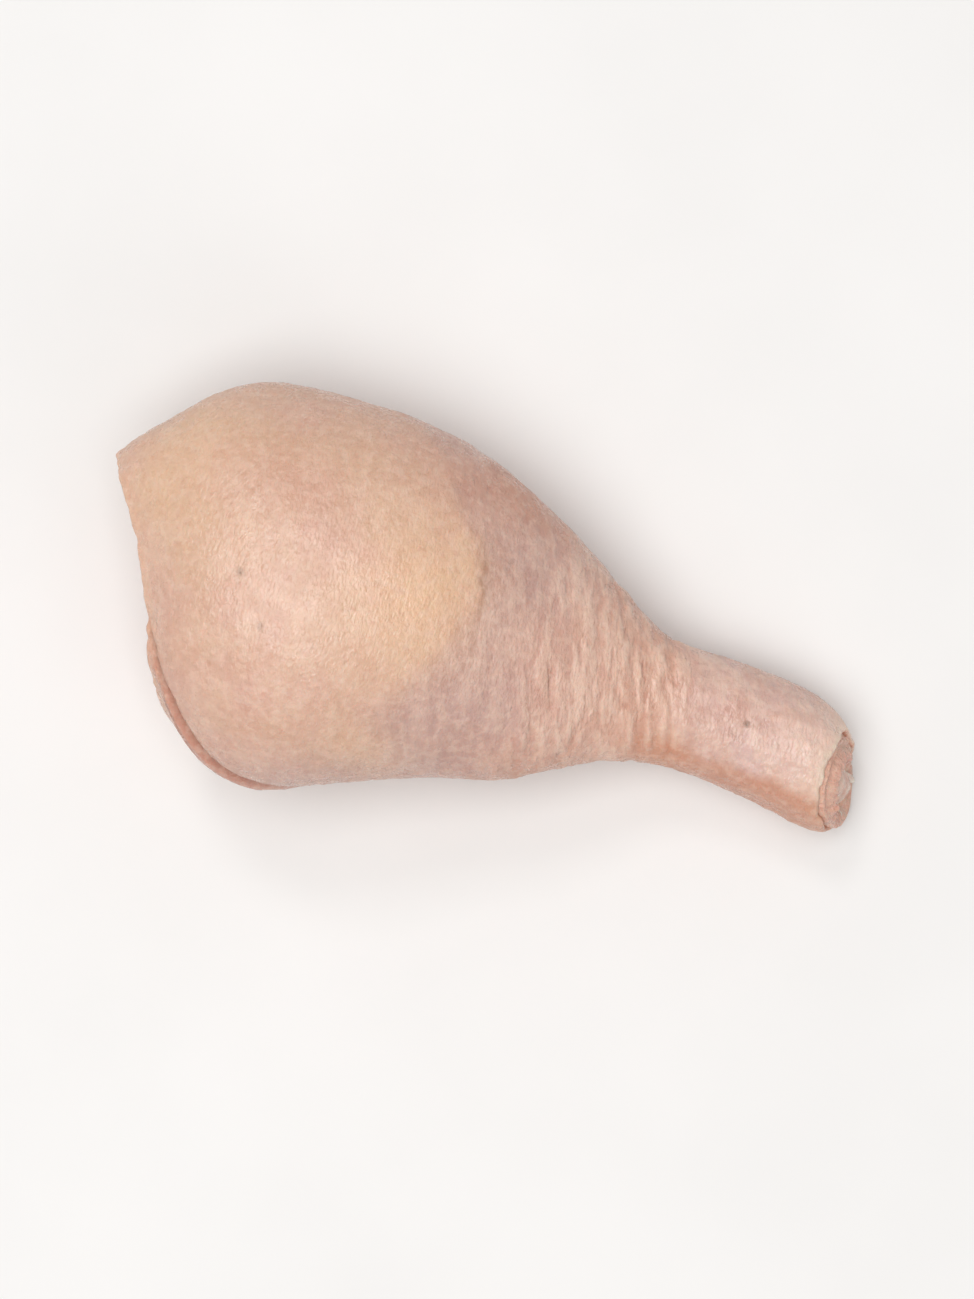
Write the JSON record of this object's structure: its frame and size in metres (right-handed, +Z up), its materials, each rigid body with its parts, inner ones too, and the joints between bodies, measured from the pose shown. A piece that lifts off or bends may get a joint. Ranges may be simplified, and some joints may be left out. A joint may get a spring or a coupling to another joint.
{
  "type": "chicken leg",
  "caption": "Raw chicken leg with its skin on, lying on its side: a thick rounded calf that narrows to a slim shank, cut across at the knee and at the ankle.",
  "frame": {"origin": "on the surface it lies on, below the middle of its bounding box", "axes": "+X along the leg towards the ankle, +Y towards the shin side, +Z up"},
  "size_m": [0.1388, 0.0684, 0.0497],
  "materials": {
    "skin": "damp raw skin over fat and flesh",
    "gristle": "smooth damp gristle over bone"
  },
  "bodies": {
    "root": {"leg": "skin", "bone": "gristle"}
  },
  "joints": []
}
